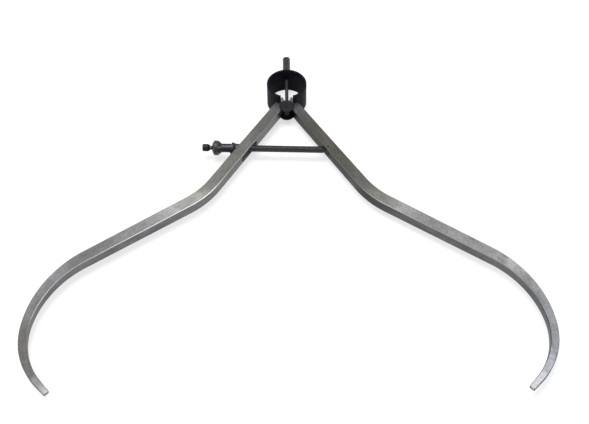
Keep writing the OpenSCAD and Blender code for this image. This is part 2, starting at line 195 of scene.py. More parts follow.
# %% [markdown]
# A studio lights bright metal with large soft lamps, because metal shows what it
# mirrors, and a small lamp would leave hot spots. One large lamp hangs above the
# caliper and lights its faces, and a weak narrow one on the right draws the edges.

# %% Hang the lamps
LAMP_TARGET = Vector((0, -0.15, 0))


def hang_lamp(name, place, size, watts):
    lamp_data = bpy.data.lights.new(name, "AREA")
    lamp_data.shape = "RECTANGLE"
    lamp_data.size, lamp_data.size_y = size
    lamp_data.energy = watts
    lamp = bpy.data.objects.new(name, lamp_data)
    lamp.location = place
    lamp.rotation_euler = (LAMP_TARGET - lamp.location).to_track_quat("-Z", "Y").to_euler()
    bpy.context.scene.collection.objects.link(lamp)


hang_lamp("above", (-0.2, 0, 1.5), (1, 0.7), 22)
hang_lamp("right_side", (1.5, -0.3, 0.45), (0.3, 1), 4)

# %% [markdown]
# Every finish here is a Principled shader with patterns behind its colour, roughness
# and bump. Nodes can be placed one by one in the shader editor. In a script that gets
# long, so a small helper keeps the recipes short: it adds a node, sets its sockets,
# and joins the sockets that are given as another node's output.

# %% A helper that adds and joins nodes
class Recipe:
    """A node material with one Principled shader, filled in step by step."""

    def __init__(self, name, roughness=0.4, metallic=1.0):
        self.material = bpy.data.materials.new(name)
        self.material.use_nodes = True
        self.tree = self.material.node_tree
        self.shader = self.tree.nodes["Principled BSDF"]
        self.set(self.shader, Roughness=roughness, Metallic=metallic)

    def set(self, node, **sockets):
        for socket_name, value in sockets.items():
            socket = node.inputs[socket_name.replace("_", " ")]
            if isinstance(value, bpy.types.NodeSocket):
                self.tree.links.new(value, socket)
            else:
                socket.default_value = value

    def add(self, kind, settings=None, **sockets):
        node = self.tree.nodes.new("ShaderNode" + kind)
        for setting, value in (settings or {}).items():
            setattr(node, setting, value)
        self.set(node, **sockets)
        return node


print("a recipe can", ", ".join(name for name in vars(Recipe) if name[0] != "_"), "nodes")

# %% [markdown]
# The same few patterns come back in every finish: a noise, a ramp that turns it into
# tones, a mix of two tones, a spread for the roughness, and a bump. They could be node
# groups, which suit a file that is edited by hand. In a script a method does the same
# and can be read line by line.

# %% Patterns for the finishes
class Finish(Recipe):
    """A recipe that knows the patterns metal needs."""

    def coordinates(self, scale, uv=None):
        if uv:
            source = self.add("UVMap", {"uv_map": uv}).outputs["UV"]
        else:
            source = self.add("TexCoord").outputs["Object"]
        return self.add("Mapping", Vector=source, Scale=scale).outputs["Vector"]

    def noise(self, where, detail=3.0, roughness=0.55):
        node = self.add("TexNoise", Vector=where, Scale=1.0, Detail=detail, Roughness=roughness)
        return node.outputs["Fac"]

    def ramp(self, factor, *stops):
        node = self.add("ValToRGB", Fac=factor)
        while len(node.color_ramp.elements) < len(stops):
            node.color_ramp.elements.new(0.5)
        for element, (position, colour) in zip(node.color_ramp.elements, stops):
            element.position = position
            element.color = (*colour, 1)
        return node.outputs["Color"]

    def mix(self, factor, one, other, blend="MIX"):
        """Two colours in one. A Mix node has its colour sockets at 6 and 7, the result at 2."""
        node = self.add("Mix", {"data_type": "RGBA", "blend_type": blend})
        for index, value in ((0, factor), (6, one), (7, other)):
            if isinstance(value, bpy.types.NodeSocket):
                self.tree.links.new(value, node.inputs[index])
            else:
                node.inputs[index].default_value = value
        return node.outputs[2]

    def spread(self, factor, low, high):
        return self.add("MapRange", Value=factor, To_Min=low, To_Max=high).outputs["Result"]

    def bump(self, height, distance, strength=1.0):
        node = self.add("Bump", Height=height, Distance=distance, Strength=strength)
        self.set(self.shader, Normal=node.outputs["Normal"])


def grey(value):
    return (value, value, value)


print("patterns:", ", ".join(name for name in vars(Finish) if name[0] != "_"))

# %% [markdown]
# The legs are ground steel. The grinding drew fine lines along each leg. The upper part
# is painted darker and warmer: the warmth is oil, and the darkness is partly oil and partly
# painted shade. The pattern follows the leg round its bends, which a flat projection
# could not do, so it is laid in the leg's own coordinates: across and along. The sides,
# the chamfers and the milled walls lie in strips of their own beside the faces, so one
# finish can tell the four apart and give each its own tones, painted light among them.

# %% Strips of the legs' grain
GRAIN = "grain"
SIDE_STRIP, EDGE_STRIP, MILLED_STRIP = 0.05, 0.1, 0.15
LEG_ALONG = 0.34


def tones(finish, share, stops):
    """A ramp along the leg from (share of its length, brightness, warmth) stops."""
    colours = [(at, (light * (1 + warmth), light, light * (1 - 2 * warmth))) for at, light, warmth in stops]
    return finish.ramp(share, *colours)


def beyond(finish, value, limit):
    """1 where the value is past the limit, else 0."""
    test = finish.add("Math", {"operation": "GREATER_THAN"})
    finish.tree.links.new(value, test.inputs[0])
    test.inputs[1].default_value = limit
    return test.outputs["Value"]


def strip_masks(finish, across):
    """Masks of all that is not a face, of chamfers and milled walls, and of milled walls."""
    limits = (SIDE_STRIP / 2, (SIDE_STRIP + EDGE_STRIP) / 2, (EDGE_STRIP + MILLED_STRIP) / 2)
    return [beyond(finish, across, limit) for limit in limits]


print("the legs' grain has strips at", SIDE_STRIP, EDGE_STRIP, MILLED_STRIP)

# %% [markdown]
# Ground steel is not one grey. Over the main tones of a leg lie three noises: slow
# drifts, fine mottling, and the grinding lines, which are noise stretched along the
# leg. Then come faint stains. An image of scratched steel could be wrapped round
# instead, but noise has no seams and stays sharp up close.

# %% The recipe for ground steel
STAIN = (0.112, 0.1, 0.084, 1)
LINE_DEPTH = 0.02 * MM


def ground_steel(name, face_oil_and_light_stops, side_light_and_shade_stops, edge_highlight_and_shade_stops):
    finish = Finish(name)
    spot = finish.add("SeparateXYZ", Vector=finish.coordinates((1, 1, 1), GRAIN))
    share = finish.add("MapRange", Value=spot.outputs["Y"], From_Max=LEG_ALONG).outputs["Result"]
    is_side, is_edge, is_milled = strip_masks(finish, spot.outputs["X"])
    # Tones along the leg: oil with painted light and shade on the faces, and painted light and shade on the
    # sides.
    steel = finish.mix(is_side, tones(finish, share, face_oil_and_light_stops), tones(finish, share, side_light_and_shade_stops))

    drift = finish.noise(finish.coordinates((70, 34, 1), GRAIN), detail=3.0)
    mottle = finish.noise(finish.coordinates((620, 420, 1), GRAIN), detail=5.0, roughness=0.7)
    lines = finish.noise(finish.coordinates((4200, 120, 1), GRAIN), detail=4.0, roughness=0.6)
    for pattern, dark, light in ((drift, 0.75, 1.25), (mottle, 0.8, 1.19), (lines, 0.82, 1.15)):
        shade = finish.ramp(pattern, (0.32, grey(dark)), (0.68, grey(light)))
        steel = finish.mix(1.0, steel, shade, "MULTIPLY")

    stains = finish.noise(finish.coordinates((150, 70, 1), GRAIN), detail=4.0)
    stain_mask = finish.ramp(stains, (0.56, grey(0)), (0.7, grey(0.6)))
    steel = finish.mix(stain_mask, steel, STAIN)
    # The chamfers' tones are painted highlights along the leg, with painted shade round the hook.
    steel = finish.mix(is_edge, steel, tones(finish, share, edge_highlight_and_shade_stops))
    # The milled walls get a duller, less metallic grey that the fill lights, so the slots look lit inside:
    # partly a milled finish, partly painted light.
    milled = finish.ramp(mottle, (0.3, grey(0.13)), (0.7, grey(0.26)))
    steel = finish.mix(is_milled, steel, milled)
    finish.set(finish.shader, Base_Color=steel, Roughness=finish.spread(mottle, 0.3, 0.5),
               Metallic=finish.spread(is_milled, 1.0, 0.35))
    finish.bump(lines, LINE_DEPTH, 0.5)
    return finish.material


print("the grinding lines are", round(LINE_DEPTH / MM, 3), "mm deep")

# %% [markdown]
# Each leg was handled, oiled and stored in its own way, and each catches the light at
# its own angle, so the main tones along its faces, its sides and its chamfers are its
# own: oil, painted light and shade, and painted highlights on the chamfers. They could
# be painted on by hand. A few stops, read and given as share of the length, brightness
# and warmth, do as well, and each can be changed alone.

# %% The tones of both legs, with painted light and shade
leg_finishes_with_light = {
    "left_leg": ground_steel(
        "left_leg_steel",
        ((0.01, 0.13, -0.03), (0.08, 0.105, 0.03), (0.2, 0.125, 0.03), (0.31, 0.135, 0.03),
         (0.35, 0.25, 0.02), (0.48, 0.19, 0.0), (0.56, 0.11, -0.01), (0.67, 0.1, 0.0),
         (0.71, 0.17, -0.01), (0.76, 0.125, -0.01), (0.83, 0.078, 0.02), (0.93, 0.064, 0.02),
         (0.975, 0.08, -0.01), (1.0, 0.15, 0.0)),
        ((0.1, 0.125, 0.0), (0.33, 0.12, -0.01), (0.5, 0.135, -0.01), (0.8, 0.13, -0.01),
         (0.94, 0.08, 0.0), (1.0, 0.035, 0.0)),
        ((0.1, 0.17, 0.0), (0.27, 0.3, 0.0), (0.34, 0.9, 0.0), (0.5, 0.75, 0.0), (0.65, 0.4, 0.0),
         (0.8, 0.35, 0.0), (0.88, 0.08, 0.0), (0.96, 0.08, 0.0), (1.0, 0.3, 0.0))),
    "right_leg": ground_steel(
        "right_leg_steel",
        ((0.01, 0.11, -0.03), (0.08, 0.072, 0.06), (0.22, 0.077, 0.06), (0.31, 0.1, 0.03),
         (0.4, 0.23, 0.02), (0.5, 0.21, -0.01), (0.58, 0.19, 0.0), (0.71, 0.28, -0.01),
         (0.8, 0.19, -0.03), (0.88, 0.22, -0.04), (0.94, 0.29, -0.04), (1.0, 0.27, 0.0)),
        ((0.1, 0.015, 0.0), (0.33, 0.03, 0.0), (0.45, 0.11, 0.0), (0.7, 0.11, -0.01),
         (0.9, 0.06, -0.04), (1.0, 0.03, 0.0)),
        ((0.1, 0.11, 0.0), (0.3, 0.2, 0.0), (0.37, 0.5, 0.0), (0.5, 0.3, 0.0), (0.72, 0.22, -0.01),
         (0.8, 0.05, -0.04), (0.96, 0.05, -0.04), (1.0, 0.2, 0.0))),
}
print("made", ", ".join(finish.name for finish in leg_finishes_with_light.values()))

# %% [markdown]
# The bow, the roller, the screw and the nut are blackened: hot oxide leaves steel
# almost black, a little brown or violet, and dull. One recipe serves them all, with a
# cloudy base and fine specks. Only its tones, its roughness and its shine change, as
# they do when pieces come polished or dull to the same bath.

# %% The blackened finish
CLOUD, SPECK, SPECK_DEPTH = 120, 900, 0.01 * MM


def blackened(name, dark, light, roughness, shine=0.5, metallic=0.55):
    finish = Finish(name, metallic=metallic)
    cloud = finish.noise(finish.coordinates((CLOUD, CLOUD, CLOUD)), detail=3.0)
    speck = finish.noise(finish.coordinates((SPECK, SPECK, SPECK)), detail=4.0, roughness=0.7)
    base = finish.ramp(cloud, (0.3, dark), (0.75, light))
    specks = finish.ramp(speck, (0.3, grey(0.7)), (0.7, grey(1.3)))
    speckled = finish.mix(1.0, base, specks, "MULTIPLY")
    finish.set(finish.shader, Base_Color=speckled, Specular_IOR_Level=shine,
               Roughness=finish.spread(speck, roughness - 0.07, roughness + 0.1))
    finish.bump(speck, SPECK_DEPTH)
    return finish.material


bow_black = blackened(
    "bow_black", (0.005, 0.004, 0.007), (0.012, 0.009, 0.015), 0.5, shine=0.03, metallic=0.1)
rod_grey = blackened("rod_grey", grey(0.03), grey(0.065), 0.42, shine=0.3)
roller_black = blackened(
    "roller_black", (0.008, 0.008, 0.009), (0.02, 0.02, 0.022), 0.36, shine=0.2)
screw_black = blackened(
    "screw_black", (0.006, 0.006, 0.008), (0.018, 0.018, 0.021), 0.16, shine=0.4, metallic=0.2)
knurl_black = blackened(
    "knurl_black", (0.01, 0.01, 0.012), (0.026, 0.026, 0.031), 0.2, shine=0.42, metallic=0.3)
jaw_black = blackened("jaw_black", (0.014, 0.014, 0.018), (0.036, 0.036, 0.042), 0.26, shine=0.35)
button_black = blackened(
    "button_black", (0.007, 0.007, 0.009), (0.018, 0.018, 0.02), 0.3, shine=0.2)
wire_steel = blackened("wire_steel", grey(0.3), grey(0.45), 0.35)
print("materials in the file, with the model's own:", len(bpy.data.materials))

# %% [markdown]
# A piece is more than a mesh: it has a finish, it rides on the body that carries it,
# and it may stand for a node of the model. One helper does all of that, so no piece
# is left behind when the caliper moves. Smooth shading would round every corner, so
# edges steeper than a limit are marked sharp.

# %% A helper for pieces
SHARP = radians(32)


def make_piece(name, points, faces, finish, body, stands_for=()):
    mesh = bpy.data.meshes.new(name)
    mesh.from_pydata([tuple(p) for p in points], [], faces)
    mesh.materials.append(finish)
    return finish_piece(name, mesh, body, stands_for)


def finish_piece(name, mesh, body, stands_for=()):
    shell = bmesh.new()
    shell.from_mesh(mesh)
    bmesh.ops.recalc_face_normals(shell, faces=shell.faces)
    shell.to_mesh(mesh)
    shell.free()
    mesh.shade_smooth()
    mesh.set_sharp_from_angle(angle=SHARP)
    piece = bpy.data.objects.new(name, mesh)
    bpy.context.scene.collection.objects.link(piece)
    if body:
        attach(piece, body)
    if stands_for:
        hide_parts(*stands_for)
    return piece


print("edges steeper than", round(degrees(SHARP)), "degrees stay sharp")

# %% [markdown]
# Both legs follow one path: straight down from the fulcrum, a bend outward, a
# straight middle, three arcs that draw it round into the hook, and a short straight
# toe. A spline through chosen points would look much the same, but a smith bends
# straights and arcs, and those can be measured.

# %% The parts of a leg's path
HOOK_RADIUS = 54 * MM


def arc(radius, turned_degrees):
    """Length and turn of an arc. A turn below zero bends inward."""
    turn = radians(turned_degrees)
    return radius * abs(turn), turn


PARTS = [
    (98.6 * MM, 0),
    arc(66 * MM, 24),
    (88 * MM, 0),
    arc(77 * MM, -50),
    arc(HOOK_RADIUS, -37.5),
    arc(59 * MM, -13.7),
    (8.4 * MM, 0),
]
lengths = [part[0] for part in PARTS]
print("straights and arcs:", [round(length / MM, 1) for length in lengths], "mm")

# %% [markdown]
# The path is of use once every place on it is known. A curve object could give them,
# but only in steps of its own. Here the path is walked part by part, with a station
# after each short step, and every station keeps its distance, its place and its
# heading. A leg is offset from the fulcrum's middle, and its finger reaches above it.

# %% Walk the path
LEG_OFFSET = 6.5 * MM
FINGER_HEIGHT = 7.4 * MM
ALONG_STEP = 1.2 * MM


def walk(place, heading, length, turn):
    if turn == 0:
        return place + length * np.array([sin(heading), -cos(heading)]), heading
    radius = length / turn
    step = radius * np.array([cos(heading) - cos(heading + turn), sin(heading) - sin(heading + turn)])
    return place + step, heading + turn


def leg_stations():
    """Distance along the leg, place and heading, from the finger's top to the toe's end."""
    stations = [(-FINGER_HEIGHT, np.array([LEG_OFFSET, FINGER_HEIGHT]), 0.0)]
    place, heading, walked = np.array([LEG_OFFSET, 0.0]), 0.0, 0.0
    for length, turn in PARTS:
        steps = ceil(length / ALONG_STEP)
        for k in range(steps):
            spot, facing = walk(place, heading, length * k / steps, turn * k / steps)
            stations.append((walked + length * k / steps, spot, facing))
        place, heading = walk(place, heading, length, turn)
        walked += length
    stations.append((walked, place, heading))
    return stations


stations = leg_stations()
leg_length = stations[-1][0]
toe_end, toe_heading = stations[-1][1], stations[-1][2]
print("a leg is", round(leg_length / MM, 1), "mm along its middle, in", len(stations), "stations")

# %% [markdown]
# Seen from the side a leg is even between the cheek washers, swells to the bend and
# thins towards the hook, and its toe is filed thin. Seen from the front its width
# changes evenly between a few knots. Both could be sculpted afterwards; as rules that
# hold for any point, they can serve the loft, the grain and the cuts alike.

# %% How wide and thick a leg is at any point
WIDTHS = {0: 8.7 * MM, 2: 9.5 * MM, 3: 9.2 * MM, 4: 6.1 * MM, 5: 5.4 * MM, 7: 4.2 * MM}
CHEEK_RADIUS = 6.4 * MM
THICK_TOP, THICK_SHOULDER, THICK_MIDDLE = 8.8 * MM, 9.4 * MM, 8.3 * MM
THICK_HOOK, THICK_TIP = 5.8 * MM, 2.9 * MM
TOE_TAPER = 15 * MM

knots = {k: sum(lengths[:k]) for k in WIDTHS}
part_starts = [np.array([LEG_OFFSET, 0.0])]
facing = 0.0
for length, turn in PARTS:
    spot, facing = walk(part_starts[-1], facing, length, turn)
    part_starts.append(spot)
knee, calf, hook = part_starts[2][1], part_starts[3][1], part_starts[5][1]
side_slope = (THICK_MIDDLE - THICK_HOOK) / (calf - hook)
lowest = hook - HOOK_RADIUS
lowest_thickness = THICK_MIDDLE - side_slope * (calf - lowest)
heights = [lowest, calf, knee, -CHEEK_RADIUS, FINGER_HEIGHT]
thicknesses = [lowest_thickness, THICK_MIDDLE, THICK_SHOULDER, THICK_TOP, THICK_TOP]
toe_slope = (THICK_HOOK - THICK_TIP) / TOE_TAPER
toe_way = np.array([sin(toe_heading), -cos(toe_heading)])


def thickness_at(point):
    from_side = np.interp(point[1], heights, thicknesses)
    before_toe = np.dot(toe_end - point, toe_way)
    return min(from_side, THICK_TIP + toe_slope * max(before_toe, 0))


def width_at(walked):
    return np.interp(walked, list(knots.values()), list(WIDTHS.values()))


print("thickness at bend and calf:", *(round(thickness_at(part_starts[k]) / MM, 1) for k in (2, 3)), "mm")

# %% [markdown]
# A leg could be extruded from its outline, but then the chamfers would have to be cut
# afterwards round every curve. It is lofted instead: an eight-sided section, a
# rectangle with its corners taken off, is set at each station and joined to the
# next. The toe ends blunt, with rounded corners. The bow and the turned pieces are
# skinned in the same way later.

# %% Loft a leg
CHAMFER, TIP_CORNER = 0.4 * MM, 0.7 * MM
CORNER_TURNS = np.radians([0, 30, 60, 90])


def skin(rings, count):
    """Faces that join rings of as many points, and then one that closes each end."""
    faces = []
    for ring in range(rings - 1):
        for k in range(count):
            following = (k + 1) % count
            faces.append((ring * count + k, ring * count + following,
                          (ring + 1) * count + following, (ring + 1) * count + k))
    last = (rings - 1) * count
    return faces + [tuple(range(count)), tuple(range(last, last + count))]


def leg_section(place, heading, half_width):
    half_thick = thickness_at(place) / 2
    edge = min(CHAMFER, half_width / 3)
    outline = [
        (half_width, half_thick - edge), (half_width - edge, half_thick),
        (edge - half_width, half_thick), (-half_width, half_thick - edge),
        (-half_width, edge - half_thick), (edge - half_width, -half_thick),
        (half_width - edge, -half_thick), (half_width, edge - half_thick),
    ]
    outward = np.array([cos(heading), sin(heading)])
    return [(*(place + across * outward), height) for across, height in outline]


def leg_loft():
    sections = [leg_section(place, heading, width_at(walked) / 2)
                for walked, place, heading in stations if walked < leg_length - TIP_CORNER]
    for turn in CORNER_TURNS:
        spot = toe_end - TIP_CORNER * (1 - sin(turn)) * toe_way
        half_width = WIDTHS[7] / 2 - TIP_CORNER * (1 - cos(turn))
        sections.append(leg_section(spot, toe_heading, half_width))
    return [p for section in sections for p in section], skin(len(sections), len(sections[0]))


print("a leg has", len(leg_loft()[0]), "points before it is cut")

# %% [markdown]
# The top and the slot of a leg are milled. The cuts could be drawn into the loft, but
# they don't follow its stations. Each cutter is a closed block instead: an outline in
# the leg's own place, straight down, that reaches past the leg in front and behind.

# %% Closed blocks for cutting
PAST = 12 * MM


def rotated(point, angle):
    x, y = point
    return np.array([x * cos(angle) - y * sin(angle), x * sin(angle) + y * cos(angle)])


def circle(centre, radius, count=48, start=0.0, sweep=2 * pi):
    """Points round a whole circle, or along an arc with both its ends."""
    steps = count if sweep == 2 * pi else count + 1
    angles = [start + sweep * k / count for k in range(steps)]
    return [np.array(centre) + radius * np.array([cos(a), sin(a)]) for a in angles]


def upright_block(outline, low=-PAST, high=PAST):
    count = len(outline)
    points = [(*p, low) for p in outline] + [(*p, high) for p in outline]
    faces = [tuple(range(count)), tuple(range(count, 2 * count))]
    faces += [(k, (k + 1) % count, count + (k + 1) % count, count + k) for k in range(count)]
    return points, faces


print("a block with a square outline has", len(upright_block(circle((0, 0), MM, 4))[1]), "faces")

# %% [markdown]
# The bow ends in two rolled beads, and each leg hooks on one of them with a round
# notch. The notch could be placed by eye, but the bow's own radius and gap say where
# the bead lies. It is turned back by the leg's opening, because a leg is cut straight
# down, and it opens outward, where the band comes in.

# %% The notch for the bow's bead
HALF_ANGLE = radians(32)
BOW_RADIUS, BOW_WALL, BOW_GAP = 16.75 * MM, 1.8 * MM, radians(23.4)
FULCRUM_DROP = 37 * MM
NOTCH_RADIUS = 1.42 * MM

bead_radius_at = BOW_RADIUS - BOW_WALL / 2
bead = np.array([bead_radius_at * sin(BOW_GAP), -BOW_RADIUS - bead_radius_at * cos(BOW_GAP)])
notch = rotated(bead + np.array([0, FULCRUM_DROP]), -HALF_ANGLE)
notch_turn = BOW_GAP - HALF_ANGLE


def notch_outline():
    round_end = circle((0, 0), NOTCH_RADIUS, 24, pi / 2, pi)
    shape = round_end + [np.array([PAST, -NOTCH_RADIUS]), np.array([PAST, NOTCH_RADIUS])]
    return [notch + rotated(p, notch_turn) for p in shape]


print("the notch lies", [round(v / MM, 2) for v in notch], "mm from the fulcrum")

# %% [markdown]
# Besides the notch, the leg's top has a round seat for the roller, a finger with a
# slanted inner side, and room for the tie rod. A finger could be modelled and joined
# on, but taking away what is not the finger keeps the leg one piece of steel.

# %% Cutters for the top of a leg
ROLLER_HOLE = 3.66 * MM
FINGER_OUT, FINGER_TOP, FINGER_RELIEF = 9.5 * MM, 0.9 * MM, radians(53)
ROD_CLEAR, OPEN_MORE = 1.75 * MM, radians(1.3)

corner = np.array([FINGER_OUT - FINGER_TOP, FINGER_HEIGHT])
relief_foot = np.array([corner[0] - corner[1] * tan(FINGER_RELIEF), 0])
relief_outline = [relief_foot, corner, corner + [0, PAST], np.array([-PAST, PAST]), np.array([-PAST, 0])]
side_foot = notch[1] + NOTCH_RADIUS / 2
finger_side = [np.array(corner_place) for corner_place in (
    (FINGER_OUT, side_foot), (2 * PAST, side_foot), (2 * PAST, PAST), (FINGER_OUT, PAST))]
rod_corners = ((-PAST, 0), (ROD_CLEAR, 0), (ROD_CLEAR, PAST), (-PAST, PAST))
rod_outline = [rotated(corner_place, -HALF_ANGLE - OPEN_MORE) for corner_place in rod_corners]

leg_cutters = {
    "roller_seat": upright_block(circle((0, 0), ROLLER_HOLE, 64)),
    "bead_notch": upright_block(notch_outline()),
    "finger_relief": upright_block(relief_outline),
    "finger_side": upright_block(finger_side),
    "rod_clearance": upright_block(rod_outline),
}
print("cutters:", ", ".join(leg_cutters))

# %% [markdown]
# The screw turns on a pin in the right leg and acts on the left leg through a seat
# that rocks in a round recess. How far it leans could be read off the picture, but the
# two pivots say it: both have the same reach from the fulcrum, the pin inside its leg
# and the seat near the outer face of the other.

# %% The two pivots of the screw
PIN_DISTANCE, PIN_INWARD = 55 * MM, 2.2 * MM
SEAT_DEPTH = 2.9 * MM

pin_across = LEG_OFFSET - PIN_INWARD
pivot_reach = hypot(pin_across, PIN_DISTANCE)
width_here = width_at(PIN_DISTANCE)
seat_across = LEG_OFFSET + width_here / 2 - SEAT_DEPTH
seat_down = sqrt(pivot_reach ** 2 - seat_across ** 2)
right_turn = HALF_ANGLE + atan(pin_across / PIN_DISTANCE)
left_turn = HALF_ANGLE + atan(seat_across / seat_down)
screw_lean = (left_turn - right_turn) / 2
pivot_span = 2 * pivot_reach * sin((left_turn + right_turn) / 2)
print("the screw leans", round(degrees(screw_lean), 2), "degrees; its pivots are",
      round(pivot_span / MM, 2), "mm apart")

# %% [markdown]
# Each leg has a slot of its own. The left one is long, because the screw swings in
# it, and its mouth is a round recess in which the nut's seat rocks. The right one is
# short, because the screw turns there on its pin, and the pin's hole crosses it. One
# long slot could serve both, but it would weaken the leg that carries the pin.

# %% The slots, the recess and the pin hole
SLOT_WIDTH = 6.1 * MM
LEFT_SLOT, RIGHT_SLOT = (54.6 * MM, 22.8 * MM), (53 * MM, 14.2 * MM)
PIN_RADIUS = 1.02 * MM
SEAT_NOSE, ROCK_GAP = 3.7 * MM, 0.12 * MM

mouth = SEAT_NOSE + ROCK_GAP


def slot_block(middle, length):
    straight = (length - SLOT_WIDTH) / 2
    upper = circle((-middle + straight, 0), SLOT_WIDTH / 2, 24, -pi / 2, pi)
    lower = circle((-middle - straight, 0), SLOT_WIDTH / 2, 24, pi / 2, pi)
    points, faces = upright_block(upper + lower, -PAST + LEG_OFFSET, PAST + LEG_OFFSET)
    return [(height, along, across) for along, across, height in points], faces


def recess_pocket():
    """The round bottom of the recess."""
    shell = bmesh.new()
    bmesh.ops.create_uvsphere(shell, u_segments=48, v_segments=24, radius=mouth)
    points = [(v.co.x + seat_across, v.co.y - seat_down, v.co.z) for v in shell.verts]
    faces = [tuple(v.index for v in f.verts) for f in shell.faces]
    shell.free()
    return points, faces


def recess_mouth():
    """The recess opened outward and downward over the seat's whole swing."""
    swing = HALF_ANGLE - screw_lean + OPEN_MORE
    flank = mouth + ROCK_GAP / 2
    centre = np.array([seat_across, -seat_down])
    outline = [centre + p for p in (
        [0, flank], [PAST, flank], [PAST, -flank / cos(swing) - PAST * tan(swing)],
        [-flank * sin(swing), -flank * cos(swing)])]
    return upright_block(outline, -flank, flank)


left_cuts = {
    "screw_slot": slot_block(*LEFT_SLOT),
    "seat_pocket": recess_pocket(),
    "seat_mouth": recess_mouth(),
}
right_cuts = {
    "screw_slot": slot_block(*RIGHT_SLOT),
    "pin_hole": upright_block(circle((pin_across, -PIN_DISTANCE), PIN_RADIUS, 32)),
}
print("cuts of their own:", ", ".join(left_cuts), "left;", ", ".join(right_cuts), "right")

# %% [markdown]
# A boolean takes one closed mesh from another. As a modifier it can wait and be
# changed later, but a leg's cuts never change, so the modifiers are worked out at
# once and only the finished mesh is kept.

# %% Cut with exact booleans
def mesh_of(name, points, faces):
    mesh = bpy.data.meshes.new(name)
    mesh.from_pydata(points, [], faces)
    shell = bmesh.new()
    shell.from_mesh(mesh)
    bmesh.ops.recalc_face_normals(shell, faces=shell.faces)
    shell.to_mesh(mesh)
    shell.free()
    return mesh


def cut(mesh, cutters):
    """The mesh with each cutter taken away."""
    work = bpy.data.objects.new("work", mesh)
    bpy.context.scene.collection.objects.link(work)
    helpers = []
    for name, (points, faces) in cutters.items():
        helper = bpy.data.objects.new(name, mesh_of(name, points, faces))
        bpy.context.scene.collection.objects.link(helper)
        helpers.append(helper)
        boolean = work.modifiers.new(name, "BOOLEAN")
        boolean.operation, boolean.solver, boolean.object = "DIFFERENCE", "EXACT", helper
    graph = bpy.context.evaluated_depsgraph_get()
    result = bpy.data.meshes.new_from_object(work.evaluated_get(graph))
    for extra in [work] + helpers:
        bpy.data.objects.remove(extra)
    return result


print("the left leg takes", len(leg_cutters) + len(left_cuts), "cuts")

# %% [markdown]
# The grain needs to know where on the leg a point lies. After the cuts the mesh no
# longer tells, so every point is matched with the nearest station, and its distances
# across and along become its place in the grain. The way a face leans tells its strip,
# and what lies deeper than the leg's skin was milled.

# %% Lay the grain of a leg
station_places = np.array([place for _, place, _ in stations])
station_walked = np.array([walked for walked, _, _ in stations])
station_headings = np.array([heading for _, _, heading in stations])
SKIN = 0.25 * MM
FACE_LEAN, EDGE_LEAN = 0.9, 0.4


def on_leg(point):
    """Distance across and along the leg, and the nearest point of its middle line."""
    gaps = station_places - np.array(point[:2])
    near = int(np.argmin((gaps ** 2).sum(1)))
    heading = station_headings[near]
    offset = -gaps[near]
    along = station_walked[near] + offset @ np.array([sin(heading), -cos(heading)])
    return offset @ np.array([cos(heading), sin(heading)]), along, station_places[near]


def strip_of(face):
    across, along, near = on_leg(face.center)
    in_width = abs(across) < width_at(along) / 2 - SKIN
    in_thickness = abs(face.center.z) < thickness_at(near) / 2 - SKIN
    if in_width and in_thickness:
        return MILLED_STRIP
    lean = abs(face.normal.z)
    return 0 if lean > FACE_LEAN else EDGE_STRIP if lean > EDGE_LEAN else SIDE_STRIP


def lay_grain(mesh):
    layer = mesh.uv_layers.new(name=GRAIN)
    for face in mesh.polygons:
        strip = strip_of(face)
        flat = abs(face.normal.z) > FACE_LEAN
        for loop in face.loop_indices:
            point = mesh.vertices[mesh.loops[loop].vertex_index].co
            across, along, _ = on_leg(point)
            layer.data[loop].uv = (strip + (across if flat else point.z), along)


print("the toe's end lies", round(on_leg(toe_end)[1] / MM, 1), "mm along the grain")

# %% [markdown]
# The legs are mirror images apart from their slots, so one can't simply be copied for
# the other. Each is lofted and cut straight down, gets its grain, and is then turned
# out to the opening in the photograph. The left one is mirrored last.

# %% Make the legs
def make_leg(name, side, own_cutters):
    mesh = cut(mesh_of(name, *leg_loft()), {**leg_cutters, **own_cutters})
    lay_grain(mesh)
    turn = Matrix.Translation(fulcrum) @ Matrix.Rotation(HALF_ANGLE, 4, "Z")
    mesh.transform(Matrix.Diagonal((side, 1, 1, 1)) @ turn)
    mesh.materials.clear()
    mesh.materials.append(leg_finishes_with_light[name])
    piece = finish_piece(name + "_ground", mesh, name, (name,))
    print(piece.name, len(mesh.polygons), "faces")
    return piece


make_leg("right_leg", 1, right_cuts)
make_leg("left_leg", -1, left_cuts)

# %% [markdown]
# The bow is one band of spring steel, bent round and rolled into a bead at each end.
# A curve with a bevel could give the band, but not the bead in one piece with it. Here
# one closed outline runs down the band's outer side, round the bead and back up the
# inner side. Every point also keeps its outward direction, for the chamfers to come.

# %% The outline of the bow
BEAD_RADIUS = 1.3 * MM
BOW_STEP = radians(3)
BEAD_STEPS = 12


def half_bow_outline():
    """The band from the crest to its bead, as places and outward directions."""
    sweep = pi - BOW_GAP
    steps = ceil(sweep / BOW_STEP)
    places, outward = [], []
    outer_side = (BOW_RADIUS, 1, range(steps + 1))
    inner_side = (BOW_RADIUS - BOW_WALL, -1, range(steps, -1, -1))
    for radius, way, order in (outer_side, inner_side):
        for k in order:
            angle = pi / 2 - sweep * k / steps
            direction = np.array([cos(angle), sin(angle)])
            places.append(radius * direction + [0, -BOW_RADIUS])
            outward.append(way * direction)
            if k == steps and way == 1:
                for turn in range(1, BEAD_STEPS):
                    bead_angle = angle - pi * turn / BEAD_STEPS
                    bead_way = np.array([cos(bead_angle), sin(bead_angle)])
                    places.append(bead + BEAD_RADIUS * bead_way)
                    outward.append(bead_way)
    return np.array(places), np.array(outward)


print("half the bow has", len(half_bow_outline()[0]), "points in its outline")

# %% [markdown]
# The outline is drawn up into a band. A bevel modifier could round its rims, but it
# would also take the seam at the crest. So the first and the last level are drawn in a
# little, which chamfers both rims. The bow is made as two mirrored halves, and they meet
# at the crest.

